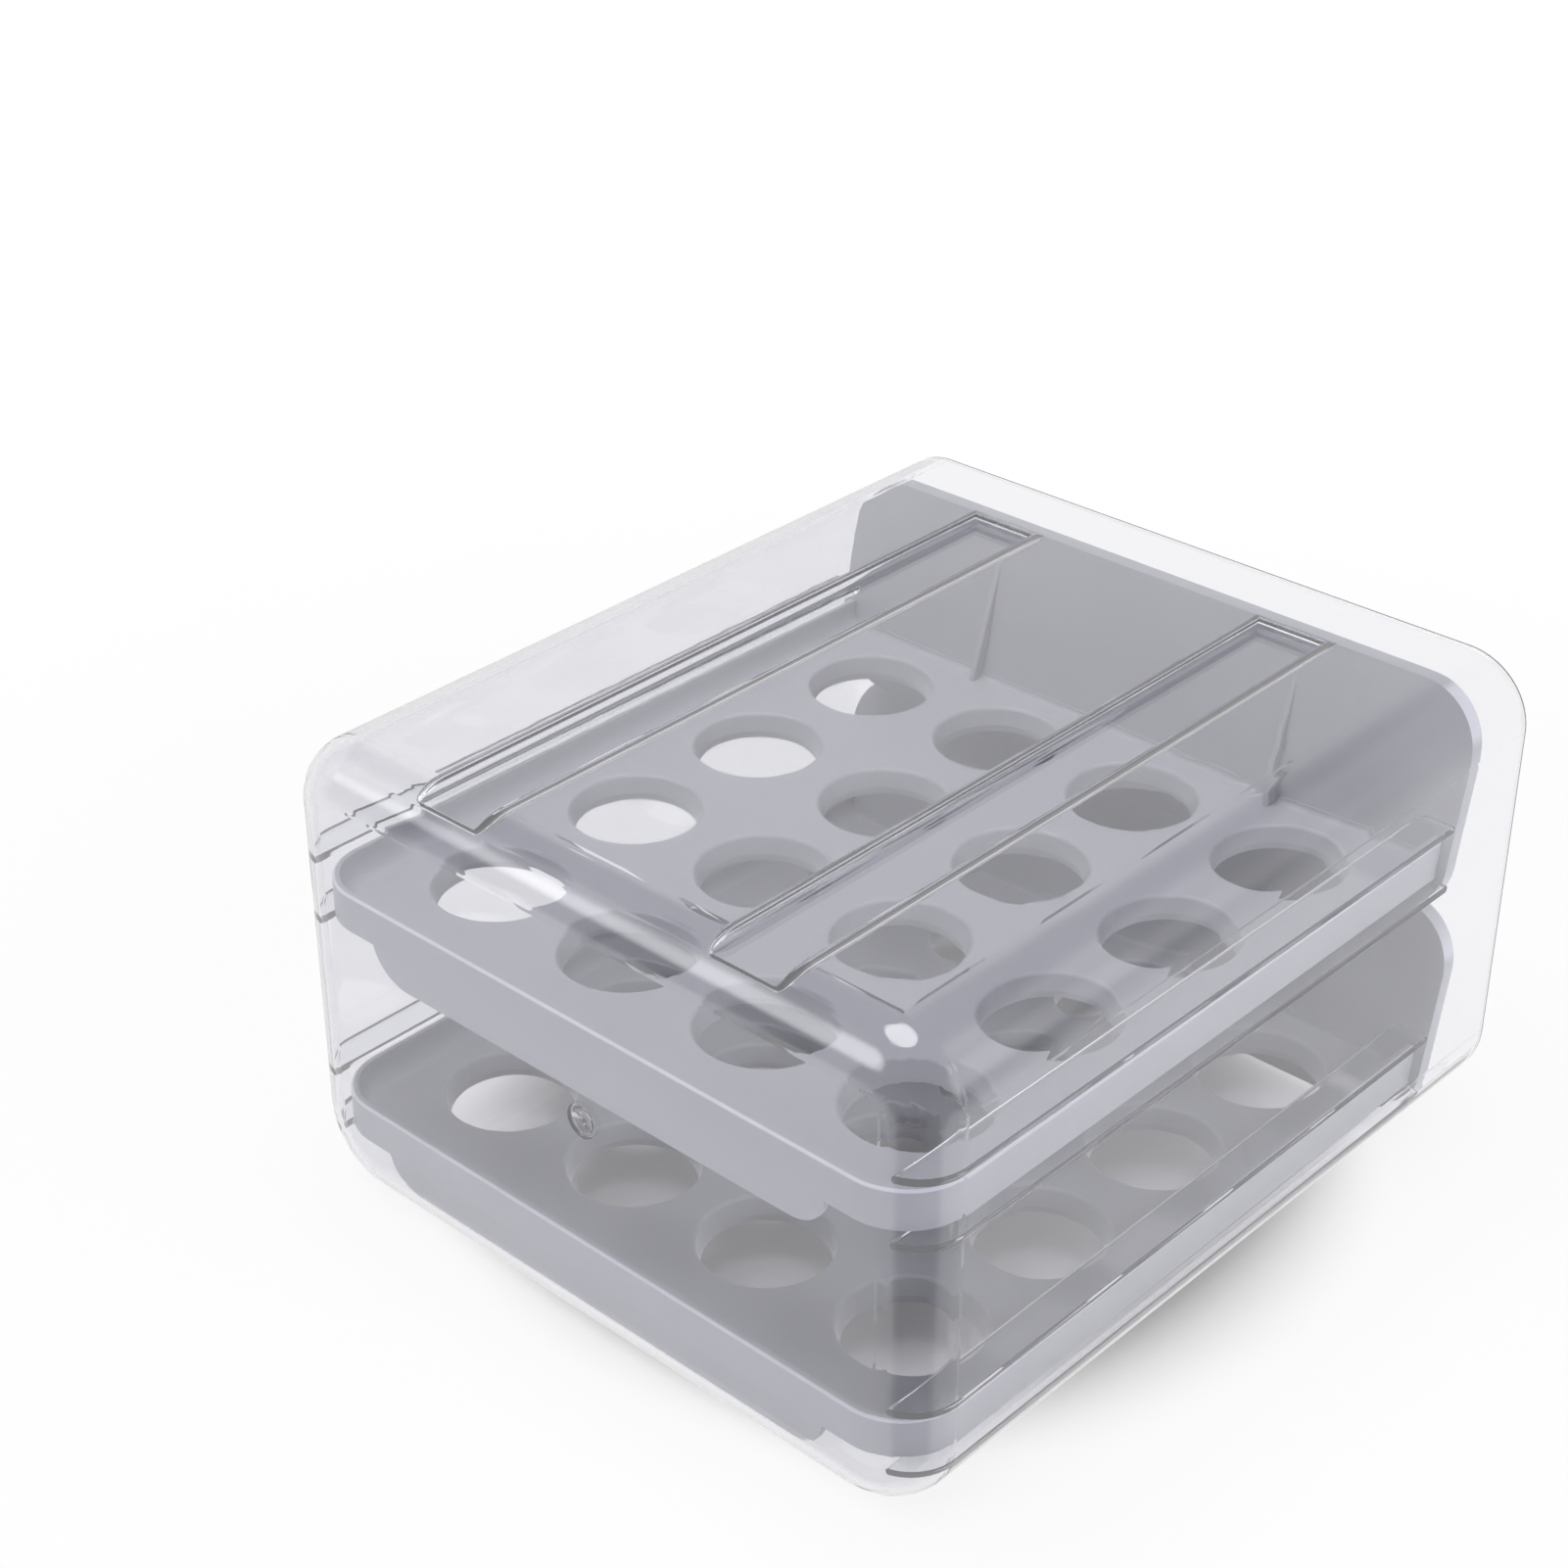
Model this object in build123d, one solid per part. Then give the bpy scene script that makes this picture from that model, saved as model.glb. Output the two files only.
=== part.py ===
"""Two-drawer egg box: a clear case with two identical drawers that slide out of its open mouth.

Millimetres. X runs across, the case's closed back wall is at +Y, its open mouth at -Y, and Z is up.
The origin is the middle of the underside.
"""

from build123d import *
import os
from math import radians, tan

# Clear case: it widens and rises a little from the closed back to the mouth, over a flat underside
case_depth = 251.2
case_width_back = 223.0
case_width_mouth = 225.0
case_height_back = 141.0
case_height_mouth = 143.0
case_wall = 2.0
case_top_radius = 20.0
case_bottom_radius = 25.0
case_back_radius = 14.5
case_mouth_round = 0.7
case_back_y = case_depth / 2
case_mouth_y = -case_depth / 2

# Two stacking grooves pressed into the top, open at the back, with a wall of the same thickness below
groove_centre_x = 51.0
groove_width = 21.3
groove_depth = 3.2
groove_front_y = -100.0
groove_floor_radius = 1.0
groove_edge_radius = 0.7

# Gate mark in the middle of the back wall: a rounded ring groove and a shallow dish round a small nub
gate_z = 72.0
gate_ring_d = 8.4
gate_ring_depth = 0.8
gate_dish_d = 7.0
gate_dish_depth = 0.5
gate_nub_d = 2.4
gate_nub_tip_d = 1.4

# Drawer decks, and the rails that carry each drawer's band and keep it from tipping
lower_deck_z = 23.4
drawer_pitch = 68.6
rail_inner_x = 100.0
rail_thickness = 2.2
rail_front_y = -93.7
rail_edge_radius = 0.8
rail_corner_radius = 3.0
rest_rail_below_deck = 3.7
upper_rail_above_deck = 15.1

# Drawer tray: a holed deck inside a band that stands up as a lip
tray_half_width = 106.3
tray_back_y = 122.9
tray_corner_radius = 17.5
tray_lip_height = 7.9
tray_band_drop = 3.4
tray_wall = 2.0
tray_cove_radius = 5.0
tray_lip_round = 0.8
deck_thickness = 2.0

# Back apron: a plate under the back of the band, thinner and drawn in towards its lower edge
apron_half_width = 80.0
apron_drop = 14.2
apron_corner_radius = 12.0
apron_draw_in = 0.9
apron_foot_thickness = 1.5
apron_edge_round = 0.4

# Egg holes: a cone under the deck that ends in a short straight land
hole_columns = 4
hole_rows = 4
hole_pitch_x = 49.0
hole_pitch_y = 50.15
hole_last_row_y = 83.1
hole_mouth_d = 37.6
hole_land_d = 35.0
hole_mouth_round = 1.3
hole_land_length = 2.0
sleeve_depth = 7.4
sleeve_wall = 1.7
sleeve_foot_round = 0.5

# Front panel: upright below the deck, leaning forward above it, with a rim round its outer face
panel_inner_y = -94.0
panel_lean = 11.7
panel_bend_radius = 20.0
panel_foot_cove = 2.0
panel_half_width = 109.2
panel_top = 47.8
panel_bottom = 19.2
panel_top_radius = 17.0
panel_bottom_radius = 20.0
panel_thickness = 2.2
panel_rim_depth = 5.3
panel_rim_width = 2.2
panel_rim_round = 0.6

# Gussets between the deck and the panel's inner face
gusset_x = 53.0
gusset_height = 36.0
gusset_base = 4.6
gusset_thickness = 1.8
gusset_edge_round = 0.5

# Finger ledge on the panel's outer face
ledge_width = 78.0
ledge_reach = 14.0
ledge_above_deck = 20.0
ledge_thickness = 2.8
ledge_corner_radius = 11.0
ledge_edge_round = 1.2

CUT = 20.0


def case_width(y):
    """Outer width of the case at depth y."""
    return case_width_mouth + (case_width_back - case_width_mouth) * (y - case_mouth_y) / case_depth


def case_height(y):
    """Outer height of the case at depth y."""
    return case_height_mouth + (case_height_back - case_height_mouth) * (y - case_mouth_y) / case_depth


def case_body(front_y, back_y, inset):
    """Solid block of the case's form between two depths, drawn in by inset, long and back edges rounded."""
    half_front = case_width(front_y) / 2 - inset
    half_back = case_width(back_y) / 2 - inset
    plan = Polyline(
        (-half_front, front_y),
        (half_front, front_y),
        (half_back, back_y),
        (-half_back, back_y),
        close=True,
    )
    side = Polyline(
        (front_y, inset),
        (back_y, inset),
        (back_y, case_height(back_y) - inset),
        (front_y, case_height(front_y) - inset),
        close=True,
    )
    body = extrude(make_face(plan), case_height_mouth + CUT)
    body &= extrude(Plane.YZ * make_face(side), case_width_mouth, both=True)
    body = fillet(long_edges(body, front_y, back_y)[:2], case_bottom_radius - inset)
    body = fillet(long_edges(body, front_y, back_y)[-2:], case_top_radius - inset)
    return fillet(body.faces().sort_by(Axis.Y)[-1].edges(), case_back_radius - inset)


def long_edges(body, front_y, back_y):
    """The edges that run the whole depth between front_y and back_y, lowest first."""
    middle_y = (front_y + back_y) / 2
    return body.edges().filter_by(lambda edge: abs(edge.center().Y - middle_y) < 1).sort_by(Axis.Z)


def groove_space(side, grow, depth):
    """Space of one stacking groove, down to depth below the top and wider by grow on each side."""
    front = groove_front_y - grow
    back = case_back_y + CUT
    top = case_height_mouth + CUT
    outline = Polyline(
        (front, case_height(front) - depth),
        (back, case_height(back) - depth),
        (back, top),
        (front, top),
        close=True,
    )
    width = groove_width + 2 * grow
    profile = Plane.YZ * make_face(outline)
    space = Pos(side * groove_centre_x - width / 2, 0, 0) * extrude(profile, width)
    floor_edges = space.faces().sort_by(Axis.Z)[0].edges().filter_by(Axis.X, reverse=True)
    return fillet(floor_edges, groove_floor_radius + grow)


def grooved(body, grow, depth):
    """The body with both stacking grooves taken out of its top, the edges they leave there rounded."""
    for side in (-1, 1):
        body -= groove_space(side, grow, depth)
    top = body.faces().filter_by(lambda face: face.normal_at().Z > 0.99).sort_by(Axis.Z)[-1]
    near_groove = groove_width / 2 + grow + 1
    edges = top.edges().filter_by(lambda edge: abs(abs(edge.center().X) - groove_centre_x) < near_groove)
    return fillet(edges, groove_edge_radius)


def rail(side, top_z, limit):
    """One guide rail inside a side wall, its free edge rounded, cut to the case's own outer form."""
    length = case_back_y - rail_front_y
    width = case_width_mouth / 2 - rail_inner_x
    plan = Rectangle(width, length, align=(Align.MIN, Align.MIN))
    plan = fillet(plan.vertices().group_by(Axis.X)[0].sort_by(Axis.Y)[0], rail_corner_radius)
    bar = Pos(rail_inner_x, rail_front_y, top_z - rail_thickness) * extrude(plan, rail_thickness)
    free_edges = bar.edges().filter_by(Plane.XY).filter_by(is_free_rail_edge)
    bar = fillet(free_edges, rail_edge_radius)
    if side < 0:
        bar = mirror(bar, Plane.YZ)
    return bar & limit


def is_free_rail_edge(edge):
    """Test for the edges along a rail's inner side and front end, not those at the wall or the back."""
    return edge.center().X < case_width_mouth / 2 - 0.01 and edge.center().Y < case_back_y - 0.01


def gate_mark():
    """Space of the rounded ring and the dish sunk into the back wall, less the nub that stands in the dish."""
    ring = Torus(gate_ring_d / 2, gate_ring_depth)
    radius = ((gate_dish_d / 2) ** 2 + gate_dish_depth**2) / (2 * gate_dish_depth)
    dish = Pos(0, 0, radius - gate_dish_depth) * Sphere(radius)
    nub = Cone(gate_nub_d / 2, gate_nub_tip_d / 2, 2 * gate_dish_depth)
    face = Pos(0, case_back_y, gate_z) * Rot(-90, 0, 0)
    return face * (ring + dish - nub)


def clear_case():
    """Clear case: shell with rounded back, stacking grooves, four rails a side and the gate mark."""
    outer = case_body(case_mouth_y, case_back_y, 0)
    inner = case_body(case_mouth_y - case_wall, case_back_y - case_wall, case_wall)
    shell = grooved(outer, 0, groove_depth) - grooved(inner, case_wall, groove_depth + case_wall)
    for deck_z in (lower_deck_z, lower_deck_z + drawer_pitch):
        for top_z in (deck_z - rest_rail_below_deck, deck_z + upper_rail_above_deck):
            for side in (-1, 1):
                shell += rail(side, top_z, outer)
    mouth_edges = shell.faces().sort_by(Axis.Y)[0].edges()
    return fillet(mouth_edges, case_mouth_round) - gate_mark()


def tray_outline(inset, front_y):
    """Plan of the tray drawn in by inset, with its two back corners rounded and its front at front_y."""
    back_y = tray_back_y - inset
    plan = Rectangle(2 * (tray_half_width - inset), back_y - front_y, align=(Align.CENTER, Align.MAX))
    plan = fillet(plan.vertices().sort_by(Axis.Y)[-2:], tray_corner_radius - inset)
    return Pos(0, back_y, 0) * plan


def tray_shell():
    """Band and deck, with a cove where the deck rises into the lip."""
    block = extrude(tray_outline(0, panel_inner_y - panel_thickness / 2), tray_lip_height + tray_band_drop)
    block = Pos(0, 0, -tray_band_drop) * block
    block = fillet(block.faces().sort_by(Axis.Z)[-1].edges().filter_by(Plane.XY), tray_lip_round)
    pocket = extrude(tray_outline(tray_wall, panel_inner_y - CUT), tray_lip_height + CUT)
    pocket = fillet(pocket.faces().sort_by(Axis.Z)[0].edges(), tray_cove_radius)
    under_depth = tray_band_drop - deck_thickness
    under = Pos(0, 0, -tray_band_drop) * extrude(tray_outline(tray_wall, panel_inner_y - CUT), under_depth)
    return block - pocket - under


def back_apron():
    """Drafted plate flush with the back of the band, its two lower corners rounded."""
    foot_y = tray_back_y - apron_draw_in
    outline = Polyline(
        (tray_back_y, -deck_thickness),
        (foot_y, -apron_drop),
        (foot_y - apron_foot_thickness, -apron_drop),
        (tray_back_y - tray_wall, -deck_thickness),
        close=True,
    )
    sheet = extrude(Plane.YZ * make_face(outline), apron_half_width, both=True)
    plate = Rectangle(2 * apron_half_width, apron_drop, align=(Align.CENTER, Align.MAX))
    plate = fillet(plate.vertices().sort_by(Axis.Y)[:2], apron_corner_radius)
    apron = sheet & extrude(Rot(90, 0, 0) * plate, -tray_back_y)
    return fillet(apron.faces().sort_by(Axis.Y)[-1].edges().filter_by(is_below_top(apron)), apron_edge_round)


def is_below_top(body):
    """Test for the edges that don't lie in the body's top face."""
    top_z = body.bounding_box().max.Z
    return lambda edge: edge.center().Z < top_z - 0.01


def turned(points):
    """Solid of revolution about Z from (radius, z) points."""
    return revolve(Plane.XZ * make_face(Polyline(*points, close=True)), Axis.Z)


def sleeve():
    """Outside of one egg hole's sleeve, from the deck's middle down."""
    land_z = -sleeve_depth + hole_land_length
    land_r = hole_land_d / 2 + sleeve_wall
    top_r = hole_mouth_d / 2 + sleeve_wall
    middle = -deck_thickness / 2
    foot = -sleeve_depth
    body = turned([(0, middle), (top_r, middle), (land_r, land_z), (land_r, foot), (0, foot)])
    return fillet(body.faces().sort_by(Axis.Z)[0].edges(), sleeve_foot_round)


def hole():
    """Space of one egg hole: a cone and a straight land."""
    land_z = -sleeve_depth + hole_land_length
    below = -sleeve_depth - CUT
    land_r = hole_land_d / 2
    mouth_r = hole_mouth_d / 2
    return turned([(0, CUT), (mouth_r, CUT), (mouth_r, 0), (land_r, land_z), (land_r, below), (0, below)])


def hole_places():
    """Centres of the egg holes in plan."""
    for column in range(hole_columns):
        for row in range(hole_rows):
            x = (column - (hole_columns - 1) / 2) * hole_pitch_x
            y = hole_last_row_y - row * hole_pitch_y
            yield Pos(x, y, 0)


def panel_face_y(z):
    """Depth of the panel's inner face at height z above the deck."""
    return panel_inner_y - max(z, 0) * tan(radians(panel_lean))


def panel_strip(depth):
    """Bent sheet of the panel seen from the side, depth thick towards the front, across the full width."""
    top = panel_top + CUT
    bottom = -panel_bottom - CUT
    outline = Polyline(
        (panel_face_y(bottom), bottom),
        (panel_face_y(0), 0),
        (panel_face_y(top), top),
        (panel_face_y(top) - depth, top),
        (panel_face_y(0) - depth, 0),
        (panel_face_y(bottom) - depth, bottom),
        close=True,
    )
    strip = make_face(outline)
    strip = fillet(strip.vertices().filter_by(is_at_height(0)), panel_bend_radius)
    return extrude(Plane.YZ * strip, panel_half_width, both=True)


def is_at_height(height):
    """Test for the corner points of a flat outline that lie at that height."""
    return lambda vertex: abs(vertex.Y - height) < 0.01


def panel_outline(inset):
    """Front view of the panel drawn in by inset, as a prism that runs through its depth."""
    width = 2 * (panel_half_width - inset)
    height = panel_top + panel_bottom - 2 * inset
    plate = Rectangle(width, height, align=(Align.CENTER, Align.MIN))
    plate = fillet(plate.vertices().sort_by(Axis.Y)[:2], panel_bottom_radius - inset)
    plate = fillet(plate.vertices().filter_by(is_at_height(height)), panel_top_radius - inset)
    prism = extrude(Rot(90, 0, 0) * plate, panel_half_width)
    return Pos(0, 0, inset - panel_bottom) * prism


def front_panel():
    """Sheet of the panel with a rim that turns forward along its whole edge."""
    sheet = panel_strip(panel_thickness) & panel_outline(0)
    rim = panel_strip(panel_rim_depth) & panel_outline(0)
    panel = sheet + (rim - panel_outline(panel_rim_width))
    front_edges = panel.edges().filter_by(is_on_rim_front)
    return fillet(front_edges, panel_rim_round)


def is_on_rim_front(edge):
    """Test for the edges on the rim's front face."""
    point = edge @ 0.5
    return point.Y < panel_face_y(point.Z) - panel_rim_depth + 0.3


def gusset():
    """Thin rib that runs from the deck up the panel's inner face to a point."""
    foot = -deck_thickness / 2
    outline = Polyline(
        (panel_inner_y + gusset_base, foot),
        (panel_inner_y + gusset_base, 0),
        (panel_face_y(gusset_height), gusset_height),
        (panel_face_y(gusset_height) - panel_thickness / 2, gusset_height),
        (panel_inner_y - panel_thickness / 2, 0),
        (panel_inner_y - panel_thickness / 2, foot),
        close=True,
    )
    rib = extrude(Plane.YZ * make_face(outline), gusset_thickness / 2, both=True)
    slope = rib.faces().filter_by(lambda face: face.normal_at().Y > 0.5 and face.normal_at().Z > 0.1)
    return fillet(slope.edges().filter_by(Axis.X, reverse=True), gusset_edge_round)


def panel_foot():
    """Cove along the line where the deck meets the panel's inner face."""
    corner_y = panel_inner_y - panel_thickness / 2
    reach = panel_foot_cove + panel_thickness / 2
    block = Rectangle(reach, panel_foot_cove + deck_thickness / 2, align=(Align.MIN, Align.MIN))
    block -= Pos(reach, panel_foot_cove + deck_thickness / 2, 0) * Circle(panel_foot_cove)
    profile = Plane.YZ * Pos(corner_y, -deck_thickness / 2, 0) * block
    return extrude(profile, tray_half_width - tray_wall, both=True)


def finger_ledge():
    """Ledge that stands out of the panel's outer face, its free edge rounded."""
    root_y = panel_face_y(ledge_above_deck) - panel_thickness / 2
    reach = ledge_reach + panel_thickness / 2
    plan = Rectangle(ledge_width, reach, align=(Align.CENTER, Align.MAX))
    plan = fillet(plan.vertices().sort_by(Axis.Y)[:2], ledge_corner_radius)
    plate = extrude(plan, ledge_thickness)
    free_edges = plate.edges().filter_by(Plane.XY).filter_by(lambda edge: edge.center().Y < -0.01)
    return Pos(0, root_y, ledge_above_deck) * fillet(free_edges, ledge_edge_round)


def drawer(deck_z):
    """One drawer with its deck's top face at deck_z."""
    tray = tray_shell() + back_apron() + front_panel() + panel_foot() + finger_ledge()
    tray += [Pos(side * gusset_x, 0, 0) * gusset() for side in (-1, 1)]
    tray += [place * sleeve() for place in hole_places()]
    tray -= [place * hole() for place in hole_places()]
    mouths = tray.edges().filter_by(GeomType.CIRCLE).filter_by(is_hole_mouth)
    return Pos(0, 0, deck_z) * fillet(mouths, hole_mouth_round)


def is_hole_mouth(edge):
    """Test for the circle where an egg hole meets the deck's top face."""
    return abs(edge.center().Z) < 0.01 and abs(edge.radius - hole_mouth_d / 2) < 0.01


def main():
    """Write one STEP file for each moulding."""
    os.makedirs("parts", exist_ok=True)
    pieces = {
        "clear_case": clear_case(),
        "lower_drawer": drawer(lower_deck_z),
        "upper_drawer": drawer(lower_deck_z + drawer_pitch),
    }
    for name, piece in pieces.items():
        export_step(piece, f"parts/{name}.step")


if __name__ == "__main__":
    main()
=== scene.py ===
"""Egg storage drawer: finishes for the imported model's clear case and grey drawers, in a plain studio."""
import math

import bpy
from bpy.props import FloatProperty, FloatVectorProperty, PointerProperty
from mathutils import Matrix, Vector

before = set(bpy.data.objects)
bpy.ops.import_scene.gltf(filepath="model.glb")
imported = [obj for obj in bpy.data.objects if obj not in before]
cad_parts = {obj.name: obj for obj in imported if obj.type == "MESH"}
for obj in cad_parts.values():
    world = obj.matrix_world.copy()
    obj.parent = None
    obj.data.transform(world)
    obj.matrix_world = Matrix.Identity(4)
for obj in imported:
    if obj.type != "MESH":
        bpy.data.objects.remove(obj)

bl_info = {
    "name": "Egg storage drawer",
    "version": (1, 0, 0),
    "blender": (4, 5, 0),
    "location": "3D View > Sidebar > Egg drawer",
    "description": "Clear case, grey drawers and a plain studio round them",
    "category": "Object",
}

MM = 0.001
# Turns a lamp, which shines downwards, to shine upwards
FACE_UP = Matrix.Rotation(math.pi, 4, "X")

# The ripples' strips: where they begin and end, outwards from the middle of the case
RIPPLE_START = (55 * MM, 90 * MM)
RIPPLE_END = (98 * MM, 94 * MM)
# The top falls by 2 mm from the mouth to the back. With that added back, its inner face lies between
# these heights
TOP_SLOPE = 2 / 251.2
INNER_FACE_START = (138.4 * MM, 139.4 * MM)
INNER_FACE_END = (141.4 * MM, 140.8 * MM)
POLYSTYRENE_IOR = 1.59
RUB_WIDTH = 6 * MM
# Glossy bounces after which light counts as lost inside a rail, and the strength of the painted grey glow
# that then stands in for it
LOST_BOUNCES = 2.5
PAINTED_RAIL_GLOW = 0.2

# The drawers' lip: where the painted highlight on its rounded outer edge begins, to the side and at the back,
# and which way that round faces
LIP_SIDE = (96 * MM, 99 * MM)
LIP_BACK = (105 * MM, 108 * MM)
LIP_OUTWARDS = (5 * MM, 20 * MM)
LIP_UPWARDS = (0.15, 0.4)
POLYPROPYLENE_IOR = 1.49
MOTTLE_WIDTH = 35 * MM
GRAIN_HEIGHT = 0.01 * MM

# The floor: distances from the middle over which it turns white, and over which it goes under the box
FLOOR_WHITE = (0.2, 0.5)
FLOOR_UNDER = (0.14, 0.09)
FLOOR_DEPTH = 0.2 * MM
FIBRE_WIDTH = 2 * MM
FIBRE_HEIGHT = 0.02 * MM

# Lamps: name, place, width and share of the lamp power; all face the middle of the box
LAMPS = (
    ("overhead lamp", (0.12, 0.2, 1.3), 1.1, 1.4),
    ("back lamp", (0.25, 1.1, 0.3), 0.6, 0.22),
    ("side lamp", (-1.1, -0.25, 0.3), 0.6, 0.6),
)
LAMP_AIM = (0, 0, 0.07)
TABLE_LIGHT_HEIGHT = 0.005
# Soft boxes that gloss mirrors: direction, angles in degrees at which they are full and gone, and brightness
SOFT_BOXES = (
    ((0.15, 0.03, 0.98), 20, 22, 4.4),
    ((0.5, 0.86, 0.42), 8, 21, 3.4),
    ((-0.84, -0.5, 0.22), 8, 22, 1.4),
)
# The room: its light on surfaces, how bright its dim part is in a reflection, and where the white paper ends
ROOM_LIGHT = 0.16
DIM_ROOM = 0.36
PAPER_BEYOND = (0.12, -0.12)
PAPER_TABLE = (-0.28, -0.42)
PAPER_TOP = (0.74, 0.6)
DARK_SOFTNESS = 0.08


def linear(hex_colour):
    """Linear RGB of an sRGB hex colour such as "#aab0b8"."""
    values = [int(hex_colour[i:i + 2], 16) / 255 for i in (1, 3, 5)]
    return tuple(v / 12.92 if v <= 0.04045 else ((v + 0.055) / 1.055) ** 2.4 for v in values)


class EggDrawerCaseSettings(bpy.types.PropertyGroup):
    """Finish of the clear case."""

    tint: FloatVectorProperty(
        name="Tint",
        description="Colour that clear polystyrene gives to light through one wall",
        subtype="COLOR",
        size=3,
        min=0,
        max=1,
        default=linear("#f3f3f6"),
    )
    wave_length: FloatProperty(
        name="Wave length",
        description="Distance between the faint waves that moulding leaves in the walls",
        unit="LENGTH",
        subtype="DISTANCE",
        default=14 * MM,
    )
    wave_height: FloatProperty(
        name="Wave height",
        description="Height of those waves",
        unit="LENGTH",
        subtype="DISTANCE",
        precision=6,
        default=0.02 * MM,
    )
    ripple_length: FloatProperty(
        name="Ripple length",
        description="Distance between the ripples beside the long rounded edges of the top",
        unit="LENGTH",
        subtype="DISTANCE",
        default=9 * MM,
    )
    ripple_height: FloatProperty(
        name="Ripple height",
        description="Height of those ripples",
        unit="LENGTH",
        subtype="DISTANCE",
        precision=6,
        default=0.06 * MM,
    )


class EggDrawerTraySettings(bpy.types.PropertyGroup):
    """Finish of the two drawers."""

    colour: FloatVectorProperty(
        name="Colour",
        description="Colour of the drawers' polypropylene",
        subtype="COLOR",
        size=3,
        min=0,
        max=1,
        default=linear("#adaeb5"),
    )
    # Lip: how much paler the painted highlight on the lip's rounded edge is than the colour
    lip: FloatProperty(
        name="Lip",
        description="How much paler the rubbed edge of the lip is than the colour",
        default=1.6,
        min=1,
    )
    grain: FloatProperty(
        name="Grain",
        description="Grain width of the spark-eroded mould surface",
        unit="LENGTH",
        subtype="DISTANCE",
        precision=5,
        default=0.5 * MM,
    )


class EggDrawerStageSettings(bpy.types.PropertyGroup):
    """Floor, lamps and camera."""

    floor_size: FloatProperty(
        name="Floor size",
        description="Side of the square floor",
        unit="LENGTH",
        subtype="DISTANCE",
        default=24.0,
    )
    lamp_power: FloatProperty(
        name="Lamp power",
        description="Power that every lamp takes a share of",
        unit="POWER",
        subtype="POWER",
        default=10.2,
    )
    table_share: FloatProperty(
        name="Table share",
        description="Power of each of the table's four lights as a share of the lamp power",
        default=0.22,
        min=0,
    )
    table_inner: FloatProperty(
        name="Table light, inside",
        description="Side of the square round the box's foot that is left dark",
        unit="LENGTH",
        subtype="DISTANCE",
        default=0.262,
    )
    table_outer: FloatProperty(
        name="Table light, outside",
        description="Side of the square of table that is lit",
        unit="LENGTH",
        subtype="DISTANCE",
        default=1.7,
    )
    camera_place: FloatVectorProperty(
        name="Camera place",
        description="Where the photograph was taken from",
        unit="LENGTH",
        subtype="TRANSLATION",
        size=3,
        default=(-0.43533, 0.52200, 0.50829),
    )
    camera_turn: FloatProperty(
        name="Camera turn",
        description="Azimuth of the camera about the object, 0 looking along +Y",
        unit="ROTATION",
        subtype="ANGLE",
        default=math.radians(222.75),
    )
    camera_rise: FloatProperty(
        name="Camera rise",
        description="Height of the camera above the horizon",
        unit="ROTATION",
        subtype="ANGLE",
        default=math.radians(30.03),
    )
    camera_lens: FloatProperty(
        name="Camera lens",
        description="Focal length in millimetres on a 36 mm sensor",
        default=66.87,
    )
    dark_side: FloatProperty(
        name="Dark side",
        description="Half-angle of the dark part of the room behind the camera, as the plastic mirrors it",
        unit="ROTATION",
        subtype="ANGLE",
        default=math.radians(54),
    )


def add_node(tree, kind, settings=None, **links):
    """A new node in the tree, with attributes set and inputs linked to sockets or set to values."""
    node = tree.nodes.new(kind)
    for key, value in (settings or {}).items():
        setattr(node, key, value)
    for key, value in links.items():
        socket = node.inputs[int(key[1:])] if key[1:].isdigit() else node.inputs[key.replace("_", " ")]
        if isinstance(value, bpy.types.NodeSocket):
            tree.links.new(value, socket)
        else:
            socket.default_value = value
    return node


def smooth_step(tree, value, start, end):
    """Socket that goes smoothly from 0 to 1 as value goes from start to end."""
    node = add_node(tree, "ShaderNodeMapRange", {"interpolation_type": "SMOOTHSTEP"}, Value=value,
                    From_Min=start, From_Max=end)
    return node.outputs["Result"]


def maths(tree, operation, *values):
    """Socket with the result of a maths operation on sockets or numbers."""
    links = {f"i{index}": value for index, value in enumerate(values)}
    return add_node(tree, "ShaderNodeMath", {"operation": operation}, **links).outputs[0]


def dot(tree, first, second):
    """Socket with the dot product of two vectors."""
    node = add_node(tree, "ShaderNodeVectorMath", {"operation": "DOT_PRODUCT"}, i0=first, i1=second)
    return node.outputs["Value"]


def between(tree, share, start, end):
    """Socket that goes evenly from start to end as share goes from 0 to 1."""
    return add_node(tree, "ShaderNodeMapRange", Value=share, To_Min=start, To_Max=end).outputs["Result"]


def noise(tree, place, width, detail):
    """Socket with noise about 0.5, in blots of about one width."""
    return add_node(tree, "ShaderNodeTexNoise", Vector=place, Scale=1 / width, Detail=detail).outputs["Fac"]


def bumped(tree, height, distance, **more):
    """Socket with the normal of a surface whose bumps are distance high where height is 1."""
    return add_node(tree, "ShaderNodeBump", Height=height, Distance=distance, **more).outputs["Normal"]


def mixed(tree, share, first, second):
    """Socket with two shaders mixed: the first one at share 0, the second one at share 1."""
    return add_node(tree, "ShaderNodeMixShader", i0=share, i1=first, i2=second).outputs[0]


def new_material(name):
    """An empty node material and its tree."""
    material = bpy.data.materials.new(name)
    material.use_nodes = True
    material.node_tree.nodes.clear()
    return material, material.node_tree


def paint(node_name, material):
    """Gives the CAD node's object one material."""
    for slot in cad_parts[node_name].material_slots:
        slot.material = material


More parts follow.
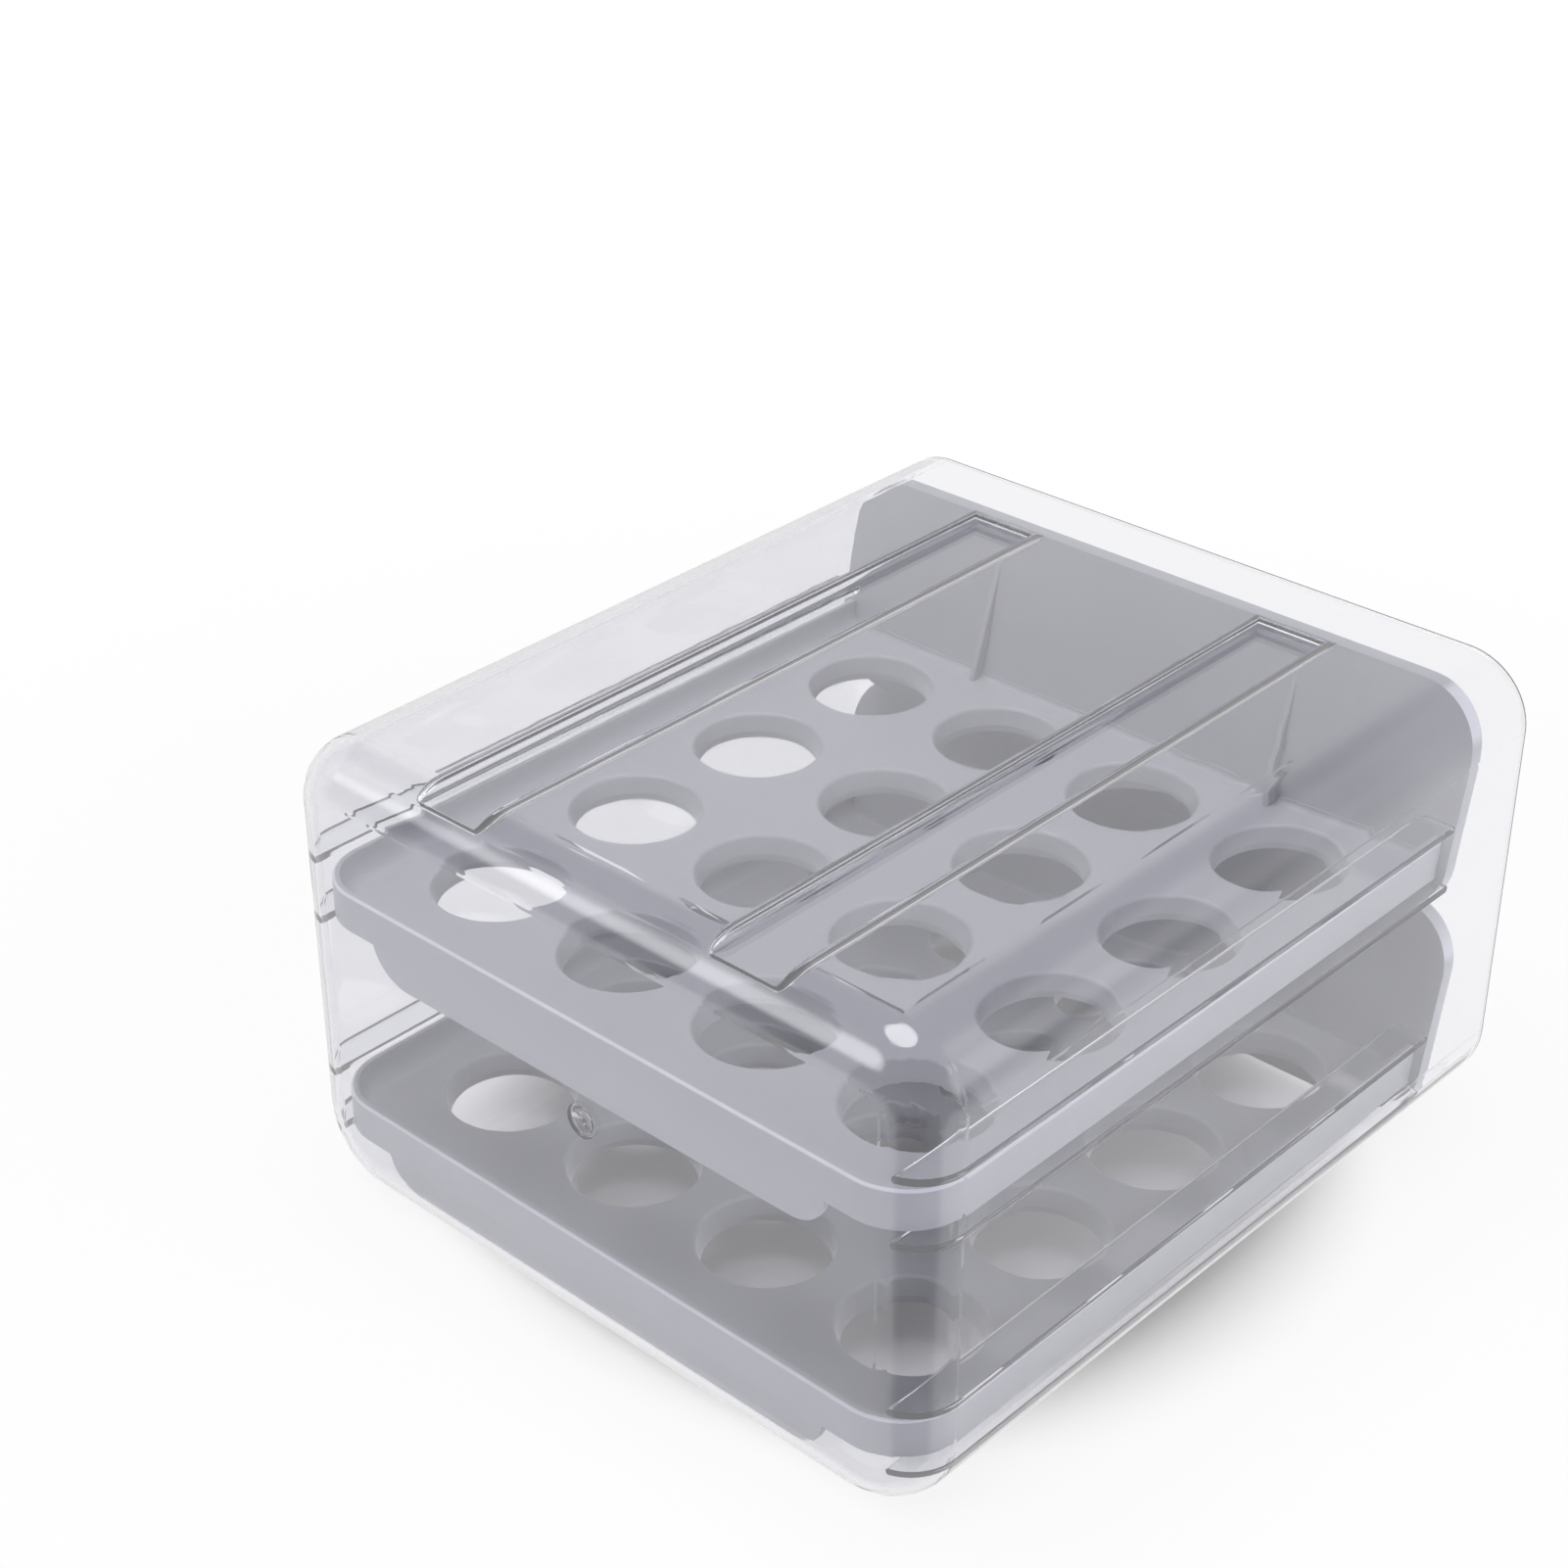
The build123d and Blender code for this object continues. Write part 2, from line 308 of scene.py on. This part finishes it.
def clear_polystyrene(settings):
    """Clear polystyrene from a polished steel mould: glassy, faintly wavy, a little grey in its thickness,
    with a painted grey glow deep inside the rails.
    """
    material, tree = new_material("Clear polystyrene, polished mould")
    place = add_node(tree, "ShaderNodeTexCoord").outputs["Object"]
    # Slow waves left by the melt as it filled the walls, which bend what is seen through them
    wave = noise(tree, place, settings.wave_length, 1.0)
    wavy = bumped(tree, wave, settings.wave_height, Strength=1.0)
    # Ripples on the inner face, where the walls cooled unevenly beside the top's long rounded edges: they
    # make what is behind look ragged
    parts = add_node(tree, "ShaderNodeSeparateXYZ", Vector=place)
    across = maths(tree, "ABSOLUTE", parts.outputs["X"])
    inside = smooth_step(tree, across, *RIPPLE_START)
    outside = smooth_step(tree, across, *RIPPLE_END)
    beside = maths(tree, "MULTIPLY", inside, outside)
    level = maths(tree, "MULTIPLY_ADD", parts.outputs["Y"], TOP_SLOPE, parts.outputs["Z"])
    above = smooth_step(tree, level, *INNER_FACE_START)
    below = smooth_step(tree, level, *INNER_FACE_END)
    inner = maths(tree, "MULTIPLY", above, below)
    zone = maths(tree, "MULTIPLY", beside, inner)
    ripple = maths(tree, "MULTIPLY", noise(tree, place, settings.ripple_length, 0.5), zone)
    bump = bumped(tree, ripple, settings.ripple_height, Strength=1.0, Normal=wavy)
    # Fine rubbing marks from sliding in and out of a fridge, just enough to soften a reflection
    rub = noise(tree, place, RUB_WIDTH, 4.0)
    rough = add_node(tree, "ShaderNodeMapRange", Value=rub, From_Min=0.45, From_Max=0.8,
                     To_Min=0.015, To_Max=0.05)
    plastic = add_node(
        tree,
        "ShaderNodeBsdfPrincipled",
        Base_Color=(*settings.tint, 1),
        Roughness=rough.outputs["Result"],
        Normal=bump,
        IOR=POLYSTYRENE_IOR,
        Transmission_Weight=1.0,
    )
    # After many glossy bounces inside a rail the plastic shows an even grey emission instead: a painted glow
    # that stands in for the light that would come out of the rail
    path = add_node(tree, "ShaderNodeLightPath")
    lost = maths(tree, "GREATER_THAN", path.outputs["Glossy Depth"], LOST_BOUNCES)
    even = add_node(tree, "ShaderNodeEmission", Color=(*settings.tint, 1), Strength=PAINTED_RAIL_GLOW)
    mix = mixed(tree, lost, plastic.outputs[0], even.outputs[0])
    # Lamps reach the drawers through the walls, each surface taking a little of their light
    open_way = add_node(tree, "ShaderNodeBsdfTransparent", Color=(*linear("#f9f9fa"), 1))
    mix = mixed(tree, path.outputs["Is Shadow Ray"], mix, open_way.outputs[0])
    add_node(tree, "ShaderNodeOutputMaterial", Surface=mix)
    return material


def lip_highlight_share(tree, place):
    """Socket that is 1 on the round along the lip's outer edge, where a highlight is painted."""
    parts = add_node(tree, "ShaderNodeSeparateXYZ", Vector=place)
    at_side = smooth_step(tree, maths(tree, "ABSOLUTE", parts.outputs["X"]), *LIP_SIDE)
    at_back = smooth_step(tree, parts.outputs["Y"], *LIP_BACK)
    at_edge = maths(tree, "MAXIMUM", at_side, at_back)
    facing = add_node(tree, "ShaderNodeTexCoord").outputs["Normal"]
    flat = add_node(tree, "ShaderNodeVectorMath", {"operation": "MULTIPLY"}, i0=place, i1=(1, 1, 0))
    outwards = smooth_step(tree, dot(tree, flat.outputs[0], facing), *LIP_OUTWARDS)
    upwards = add_node(tree, "ShaderNodeSeparateXYZ", Vector=facing).outputs["Z"]
    upwards = smooth_step(tree, upwards, *LIP_UPWARDS)
    return maths(tree, "MULTIPLY", maths(tree, "MULTIPLY", at_edge, outwards), upwards)


def grey_polypropylene(settings):
    """Grey polypropylene from a spark-eroded mould: satin, soft highlights, even colour but faint mottle, and
    a painted highlight along the lip's rounded edge.
    """
    material, tree = new_material("Grey polypropylene, spark-eroded mould")
    place = add_node(tree, "ShaderNodeTexCoord").outputs["Object"]
    # Faint mottle where the pigment is thicker or thinner along the flow of the melt
    value = between(tree, noise(tree, place, MOTTLE_WIDTH, 3.0), 0.97, 1.03)
    # The round along the lip's outer edge, where it faces up and outwards, is painted paler than the rest: a
    # painted highlight
    value = between(tree, lip_highlight_share(tree, place), value, settings.lip)
    colour = add_node(tree, "ShaderNodeHueSaturation", Color=(*settings.colour, 1), Value=value)
    # The mould's spark-eroded grain
    grain = noise(tree, place, settings.grain, 2.0)
    plastic = add_node(
        tree,
        "ShaderNodeBsdfPrincipled",
        Base_Color=colour.outputs["Color"],
        Roughness=between(tree, grain, 0.28, 0.38),
        Normal=bumped(tree, grain, GRAIN_HEIGHT, Strength=0.6),
        IOR=POLYPROPYLENE_IOR,
    )
    add_node(tree, "ShaderNodeOutputMaterial", Surface=plastic.outputs[0])
    return material


def is_seen(tree):
    """Socket that is 1 for what the camera sees, also through clear plastic, and 0 for light on a surface."""
    path = add_node(tree, "ShaderNodeLightPath")
    seen = path.outputs["Is Camera Ray"]
    for name in ("Is Glossy Ray", "Is Transmission Ray"):
        seen = maths(tree, "MAXIMUM", seen, path.outputs[name])
    direct = maths(tree, "LESS_THAN", path.outputs["Diffuse Depth"], 0.5)
    return maths(tree, "MULTIPLY", seen, direct)


def is_mirrored(tree):
    """Socket that is 1 for what a surface mirrors towards the camera."""
    path = add_node(tree, "ShaderNodeLightPath")
    bounced = maths(tree, "GREATER_THAN", path.outputs["Glossy Depth"], 0.5)
    return maths(tree, "MULTIPLY", bounced, is_seen(tree))


def studio_floor():
    """White matt studio paper: it shows white to the camera and keeps a soft shadow."""
    material, tree = new_material("White studio paper, matt")
    place = add_node(tree, "ShaderNodeTexCoord").outputs["Object"]
    fibre = noise(tree, place, FIBRE_WIDTH, 3.0)
    paper = add_node(
        tree,
        "ShaderNodeBsdfPrincipled",
        Base_Color=(*linear("#f5f5f5"), 1),
        Roughness=0.9,
        Normal=bumped(tree, fibre, FIBRE_HEIGHT, Strength=0.3),
        Specular_IOR_Level=0.1,
    )
    # It shows white away from the box, keeps some shadow beside it and nearly all of it underneath
    away = add_node(tree, "ShaderNodeVectorMath", {"operation": "LENGTH"}, i0=place).outputs["Value"]
    share = between(tree, smooth_step(tree, away, *FLOOR_WHITE), 0.88, 1.0)
    share = between(tree, smooth_step(tree, away, *FLOOR_UNDER), share, 0.13)
    share = maths(tree, "MULTIPLY", is_seen(tree), share)
    white = add_node(tree, "ShaderNodeEmission", Color=(1, 1, 1, 1), Strength=1.0)
    shown = mixed(tree, share, paper.outputs[0], white.outputs[0])
    # Mirrored rays pass on to the room's own brightness below the horizon
    passed = add_node(tree, "ShaderNodeBsdfTransparent", Color=(1, 1, 1, 1))
    mix = mixed(tree, is_mirrored(tree), shown, passed.outputs[0])
    add_node(tree, "ShaderNodeOutputMaterial", Surface=mix)
    return material


class EGGDRAWER_OT_clear_case(bpy.types.Operator):
    """Gives the clear case its moulded polystyrene"""

    bl_idname = "eggdrawer.clear_case"
    bl_label = "Clear case"

    def execute(self, context):
        paint("clear_case", clear_polystyrene(context.scene.egg_drawer_case))
        return {"FINISHED"}


class EGGDRAWER_OT_drawers(bpy.types.Operator):
    """Gives both drawers their grey polypropylene"""

    bl_idname = "eggdrawer.drawers"
    bl_label = "Drawers"

    def execute(self, context):
        material = grey_polypropylene(context.scene.egg_drawer_trays)
        paint("upper_drawer", material)
        paint("lower_drawer", material)
        return {"FINISHED"}


def add_lamp(name, place, aim, size, power):
    """A round soft lamp at place, facing aim."""
    data = bpy.data.lights.new(name, "AREA")
    data.shape = "DISK"
    data.size = size
    data.energy = power
    # Without this, the drawers inside the clear case get less of a near lamp's light than they should
    data.cycles.use_multiple_importance_sampling = False
    lamp = bpy.data.objects.new(name, data)
    lamp.visible_transmission = False
    lamp.location = place
    lamp.rotation_mode = "QUATERNION"
    lamp.rotation_quaternion = (Vector(aim) - Vector(place)).to_track_quat("-Z", "Y")
    bpy.context.scene.collection.objects.link(lamp)
    return lamp


class EGGDRAWER_OT_stage(bpy.types.Operator):
    """Adds the floor, the lamps, the world and the camera of the photograph"""

    bl_idname = "eggdrawer.stage"
    bl_label = "Studio"

    def execute(self, context):
        settings = context.scene.egg_drawer_stage
        self.add_floor(settings)
        self.add_lamps(settings)
        self.add_world(context.scene, settings)
        self.add_camera(context.scene, settings)
        context.scene.view_settings.view_transform = "Standard"
        return {"FINISHED"}

    def add_floor(self, settings):
        half = settings.floor_size / 2
        mesh = bpy.data.meshes.new("floor")
        corners = [(-half, -half, 0), (half, -half, 0), (half, half, 0), (-half, half, 0)]
        mesh.from_pydata(corners, [], [(0, 1, 2, 3)])
        mesh.materials.append(studio_floor())
        floor = bpy.data.objects.new("floor", mesh)
        bpy.context.scene.collection.objects.link(floor)
        floor.location.z = -FLOOR_DEPTH

    def add_lamps(self, settings):
        power = settings.lamp_power
        for name, place, size, share in LAMPS:
            # Gloss shows the lamps as the soft boxes of the room that it mirrors
            lamp = add_lamp(name, place, LAMP_AIM, size, power * share)
            lamp.visible_glossy = False
        # The table is lit from below round the box: four strips, end to side, fill a square round its foot
        near, far = settings.table_inner / 2, settings.table_outer / 2
        table_power = power * settings.table_share
        strip = Matrix.Translation(((near - far) / 2, (near + far) / 2, TABLE_LIGHT_HEIGHT)) @ FACE_UP
        for side in range(4):
            lamp = add_lamp(f"table light {side + 1}", (0, 0, 0), (0, 0, 1), far + near, table_power)
            lamp.data.shape, lamp.data.size_y = "RECTANGLE", far - near
            lamp.matrix_world = Matrix.Rotation(side * math.pi / 2, 4, "Z") @ strip
            lamp.visible_camera = lamp.visible_glossy = False

    def add_world(self, scene, settings):
        world = bpy.data.worlds.new("Studio room")
        world.use_nodes = True
        tree = world.node_tree
        tree.nodes.clear()
        towards = add_node(tree, "ShaderNodeTexCoord").outputs["Generated"]
        height = add_node(tree, "ShaderNodeSeparateXYZ", Vector=towards).outputs["Z"]
        turn = settings.camera_turn
        nearness = dot(tree, towards, (math.sin(turn), -math.cos(turn), 0))
        # What gloss mirrors: white paper below and beyond, a dim room above it and behind the photographer
        edge = math.cos(settings.dark_side)
        beyond = smooth_step(tree, nearness, *PAPER_BEYOND)
        table = smooth_step(tree, height, *PAPER_TABLE)
        beside = smooth_step(tree, nearness, edge + DARK_SOFTNESS, edge - DARK_SOFTNESS)
        paper = maths(tree, "MAXIMUM", beyond, maths(tree, "MULTIPLY", table, beside))
        paper = maths(tree, "MULTIPLY", paper, smooth_step(tree, height, *PAPER_TOP))
        wall = between(tree, paper, DIM_ROOM, 1.0)
        for aim, inner, outer, strength in SOFT_BOXES:
            aimed = dot(tree, towards, Vector(aim).normalized())
            glow = smooth_step(tree, aimed, math.cos(math.radians(outer)), math.cos(math.radians(inner)))
            wall = between(tree, glow, wall, strength)
        light, white, room = (
            add_node(tree, "ShaderNodeBackground", Color=(1, 1, 1, 1), Strength=strength).outputs[0]
            for strength in (ROOM_LIGHT, 1.0, wall)
        )
        shown = mixed(tree, is_mirrored(tree), white, room)
        add_node(tree, "ShaderNodeOutputWorld", Surface=mixed(tree, is_seen(tree), light, shown))
        scene.world = world

    def add_camera(self, scene, settings):
        turn, rise = settings.camera_turn, settings.camera_rise
        back = Vector((math.sin(turn) * math.cos(rise), -math.cos(turn) * math.cos(rise), math.sin(rise)))
        data = bpy.data.cameras.new("camera")
        data.sensor_width = 36
        data.lens = settings.camera_lens
        data.clip_start, data.clip_end = 0.01, 100
        camera = bpy.data.objects.new("camera", data)
        camera.location = settings.camera_place
        camera.rotation_mode = "QUATERNION"
        camera.rotation_quaternion = (-back).to_track_quat("-Z", "Y")
        scene.collection.objects.link(camera)
        scene.camera = camera


class EGGDRAWER_PT_panel(bpy.types.Panel):
    """Sidebar panel with the drawer's finishes and its studio"""

    bl_idname = "EGGDRAWER_PT_panel"
    bl_label = "Egg storage drawer"
    bl_space_type = "VIEW_3D"
    bl_region_type = "UI"
    bl_category = "Egg drawer"

    def draw(self, context):
        groups = (
            ("eggdrawer.clear_case", context.scene.egg_drawer_case),
            ("eggdrawer.drawers", context.scene.egg_drawer_trays),
            ("eggdrawer.stage", context.scene.egg_drawer_stage),
        )
        for operator, settings in groups:
            box = self.layout.box()
            box.operator(operator)
            for name in settings.__annotations__:
                box.prop(settings, name)


CLASSES = (
    EggDrawerCaseSettings,
    EggDrawerTraySettings,
    EggDrawerStageSettings,
    EGGDRAWER_OT_clear_case,
    EGGDRAWER_OT_drawers,
    EGGDRAWER_OT_stage,
    EGGDRAWER_PT_panel,
)


def register():
    """Adds the classes and their settings to Blender."""
    for cls in CLASSES:
        bpy.utils.register_class(cls)
    bpy.types.Scene.egg_drawer_case = PointerProperty(type=EggDrawerCaseSettings)
    bpy.types.Scene.egg_drawer_trays = PointerProperty(type=EggDrawerTraySettings)
    bpy.types.Scene.egg_drawer_stage = PointerProperty(type=EggDrawerStageSettings)


def unregister():
    """Takes the classes and their settings out of Blender."""
    del bpy.types.Scene.egg_drawer_stage
    del bpy.types.Scene.egg_drawer_trays
    del bpy.types.Scene.egg_drawer_case
    for cls in reversed(CLASSES):
        bpy.utils.unregister_class(cls)


def main():
    """Builds the whole scene."""
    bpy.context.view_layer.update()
    register()
    bpy.ops.eggdrawer.clear_case()
    bpy.ops.eggdrawer.drawers()
    bpy.ops.eggdrawer.stage()
    bpy.context.view_layer.update()


if __name__ == "__main__":
    main()
